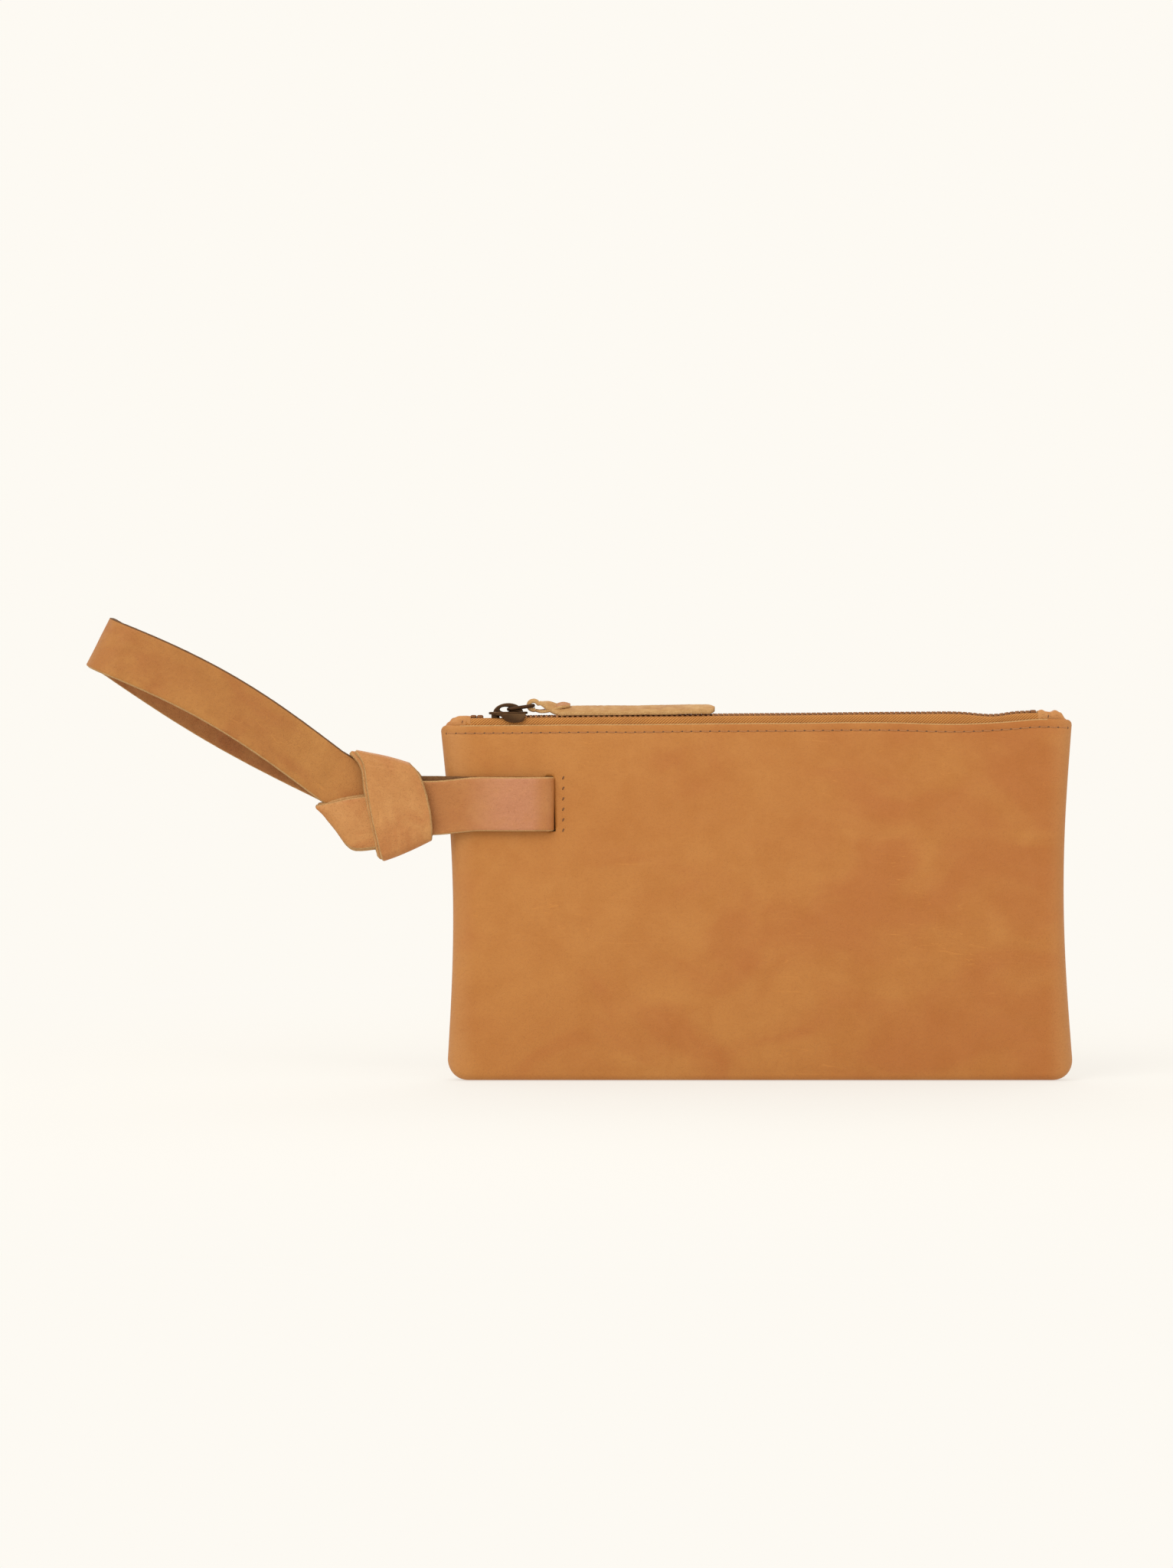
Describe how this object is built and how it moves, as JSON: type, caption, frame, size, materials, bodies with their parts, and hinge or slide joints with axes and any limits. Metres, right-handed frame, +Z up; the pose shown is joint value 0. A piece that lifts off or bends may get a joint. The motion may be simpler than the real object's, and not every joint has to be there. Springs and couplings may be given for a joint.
{
  "type": "wristlet wallet",
  "caption": "Flat zipped leather pouch that stands on its narrow bottom strip, with a knotted leather wrist loop at its left side.",
  "frame": {"origin": "middle of the pouch's flat bottom strip, on the surface it stands on", "axes": "+X to the right along the zip, -Y out of the front panel, +Z up"},
  "size_m": [0.3778, 0.0327, 0.1776],
  "materials": {
    "leather": "oiled pull-up grain",
    "strap_leather": "oiled pull-up grain with a soft sheen",
    "pull_leather": "raw flesh side",
    "tape": "woven",
    "metal": "dark antique",
    "thread": "waxed"
  },
  "bodies": {
    "pouch": {"front_panel": "leather", "back_panel": "leather", "side_seam_thread": "thread", "front_zip_tape": "tape", "back_zip_tape": "tape", "front_teeth": "metal", "back_teeth": "metal", "top_stops": "metal", "bottom_stop": "metal", "left_end_tab": "leather", "right_end_tab": "leather", "end_tab_stitches": "thread", "front_topstitch": "thread", "back_topstitch": "thread", "strap_tail_front": "strap_leather", "strap_tail_back": "strap_leather", "strap_stitches": "thread"},
    "slider": {"slider_body": "metal", "slider_bail": "metal"},
    "link": {"pull_link": "metal"},
    "pull": {"leather_pull": "pull_leather"},
    "strap": {"strap_run_front": "strap_leather", "strap_run_back": "strap_leather", "knot_wrap": "strap_leather", "knot_tuck": "strap_leather"},
    "loop": {"wrist_loop": "strap_leather"}
  },
  "joints": [
    {"name": "slider_slide", "type": "slide", "parent": "pouch", "child": "slider", "axis": [1, 0, 0.0092], "range_m": [0, 0.192], "deforming": ["front_teeth", "back_teeth", "front_zip_tape", "back_zip_tape"]},
    {"name": "link_hinge", "type": "hinge", "parent": "slider", "child": "link", "pos_m": [-0.09655, 0, 0.14222], "axis": [0, -1, 0], "range_deg": [0, 110]},
    {"name": "pull_hinge", "type": "hinge", "parent": "link", "child": "pull", "pos_m": [-0.08716, 0, 0.1436], "axis": [0, -1, 0], "range_deg": [0, 62]},
    {"name": "strap_bend", "type": "hinge", "parent": "pouch", "child": "strap", "pos_m": [-0.1225, -0.00787, 0.106], "axis": [0, 0, 1], "range_deg": [-35, 80]},
    {"name": "loop_bend", "type": "hinge", "parent": "strap", "child": "loop", "pos_m": [-0.164, -0.00787, 0.1167], "axis": [0.4478, 0, 0.8942], "range_deg": [-45, 60]}
  ]
}
